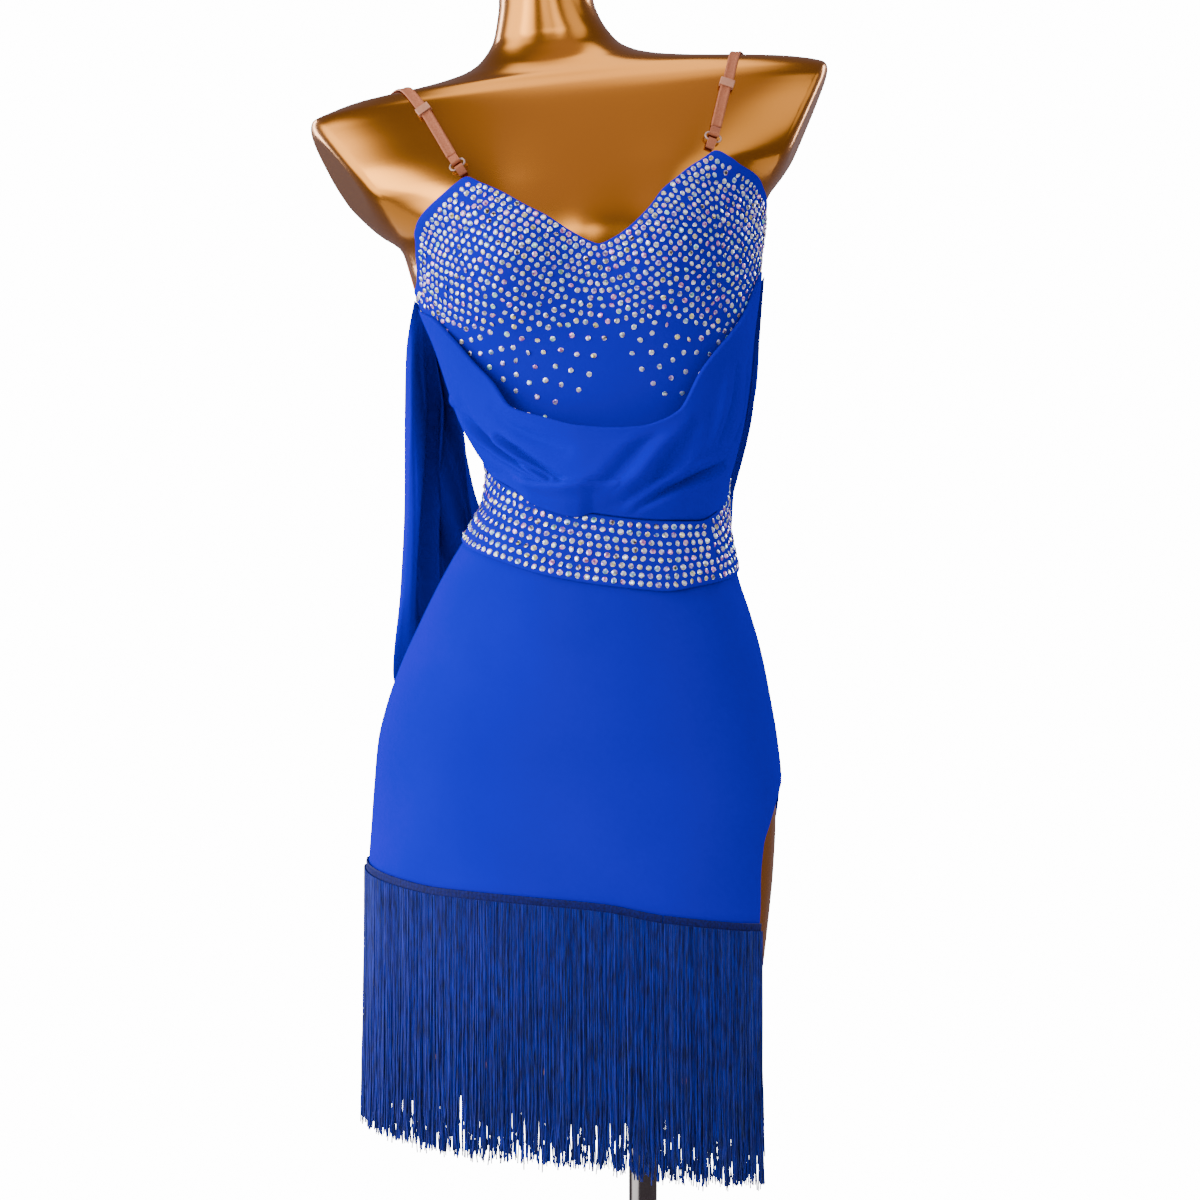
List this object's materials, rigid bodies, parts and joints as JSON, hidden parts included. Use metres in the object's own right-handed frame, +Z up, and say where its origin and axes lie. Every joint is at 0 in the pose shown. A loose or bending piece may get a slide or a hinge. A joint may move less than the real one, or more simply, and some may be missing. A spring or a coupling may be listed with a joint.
{
  "type": "salsa dance dress on a limbless dress form",
  "caption": "Fitted dance dress with a jewelled bodice and belt, cowl drape, open-back swag, side slit and fringed hem, on a limbless dress form with a round base.",
  "frame": {"origin": "middle of the underside of the round base, on the pole's axis", "axes": "+Z up along the pole, +X the dress's own left side, -Y the dress's front"},
  "size_m": [0.466, 0.36, 1.4929],
  "materials": {
    "gold_form": "glossy metallic gold lacquer over a smooth shell",
    "chrome": "polished",
    "base_steel": "plain satin plate",
    "stretch_cloth": "matte royal blue stretch jersey",
    "drape_cloth": "soft royal blue jersey with a faint sheen",
    "fringe": "twisted rayon chainette strands on a narrow tape",
    "nude_elastic": "ribbed skin-tone strap elastic",
    "nude_plastic": "moulded skin-tone slider",
    "clear_plastic": "clear pinkish moulded ring"
  },
  "bodies": {
    "root": {"back_drape": "drape_cloth", "belt": "stretch_cloth", "bodice_back": "stretch_cloth", "bodice_front": "stretch_cloth", "form_body": "gold_form", "fringe_back": "fringe", "fringe_front_left": "fringe", "fringe_front_right": "fringe", "front_drape": "drape_cloth", "ring_left": "clear_plastic", "ring_right": "clear_plastic", "skirt_back": "stretch_cloth", "skirt_front": "stretch_cloth", "slider_left": "nude_plastic", "slider_right": "nude_plastic", "stand_base": "base_steel", "stand_flange": "chrome", "stand_hub": "chrome", "stand_pole": "chrome", "strap_fold_left": "nude_elastic", "strap_fold_right": "nude_elastic", "strap_left": "nude_elastic", "strap_right": "nude_elastic", "strap_tab_left": "nude_elastic", "strap_tab_right": "nude_elastic"}
  },
  "joints": []
}
